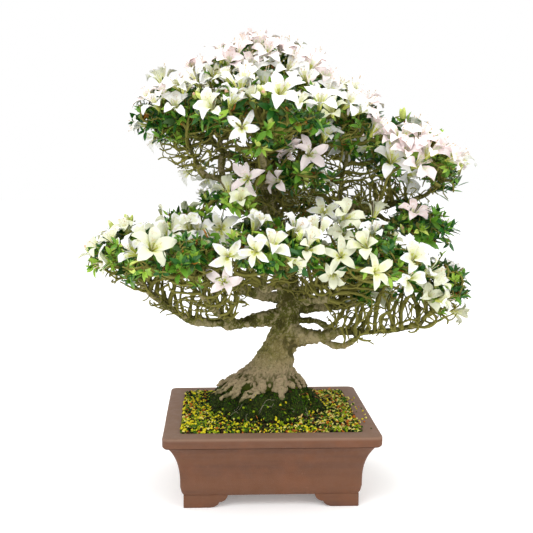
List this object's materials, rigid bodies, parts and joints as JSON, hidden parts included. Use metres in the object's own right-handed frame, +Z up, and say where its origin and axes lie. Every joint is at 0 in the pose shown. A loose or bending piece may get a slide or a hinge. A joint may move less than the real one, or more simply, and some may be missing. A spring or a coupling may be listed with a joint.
{
  "type": "azalea bonsai",
  "caption": "Flowering azalea bonsai with a leaning, flared trunk and tiered pads of foliage, built together with its rectangular clay pot on bracket feet.",
  "frame": {"origin": "on the ground, under the middle of the whole plant's box", "axes": "+Z up; -Y is the front, the side with the best view of the boughs; +X to the viewer's right"},
  "size_m": [0.5937, 0.425, 0.701],
  "materials": {
    "clay": "unglazed brown stoneware, matt",
    "soil": "loose granules",
    "moss": "soft dark green moss",
    "bark": "grey-brown bark, greenish with algae",
    "foliage": "small glossy evergreen leaves",
    "blossom": "thin white and blush petals among leaves"
  },
  "bodies": {
    "root": {"pot": "clay", "pot_foot_1": "clay", "pot_foot_2": "clay", "pot_foot_3": "clay", "pot_foot_4": "clay", "soil": "soil", "moss": "moss", "trunk": "bark", "bough_low_left": "bark", "bough_low_left_tip": "bark", "bough_low_left_front": "bark", "bough_low_left_back": "bark", "bough_low_right": "bark", "bough_low_right_tip": "bark", "bough_low_right_loop": "bark", "bough_low_right_crook": "bark", "bough_mid_right_low": "bark", "bough_low_right_back": "bark", "bough_low_back": "bark", "bough_low_front_right": "bark", "bough_low_front_left": "bark", "bough_mid_back": "bark", "bough_upper_left": "bark", "bough_upper_left_rise": "bark", "bough_upper_right": "bark", "bough_upper_right_tip": "bark", "bough_upper_right_rise": "bark", "bough_mid_right": "bark", "bough_top_back": "bark", "bough_top_front": "bark", "bough_top_left": "bark", "bough_top_right": "bark", "foliage_top": "blossom", "foliage_top_front": "foliage", "foliage_top_back": "foliage", "foliage_upper_left": "blossom", "foliage_upper_left_back": "foliage", "foliage_upper_right_inner": "blossom", "foliage_upper_right_outer": "blossom", "foliage_upper_right_back": "foliage", "foliage_mid_left": "foliage", "foliage_mid_front": "foliage", "foliage_mid_right": "foliage", "foliage_mid_right_inner": "foliage", "foliage_mid_back": "foliage", "foliage_low_left_outer": "foliage", "foliage_low_left_inner": "foliage", "foliage_low_left_front": "foliage", "foliage_low_left_back": "foliage", "foliage_low_front": "foliage", "foliage_low_right_front": "foliage", "foliage_low_right_outer": "foliage", "foliage_low_right_mid": "foliage", "foliage_low_right_back": "foliage", "foliage_low_back": "foliage"}
  },
  "joints": []
}
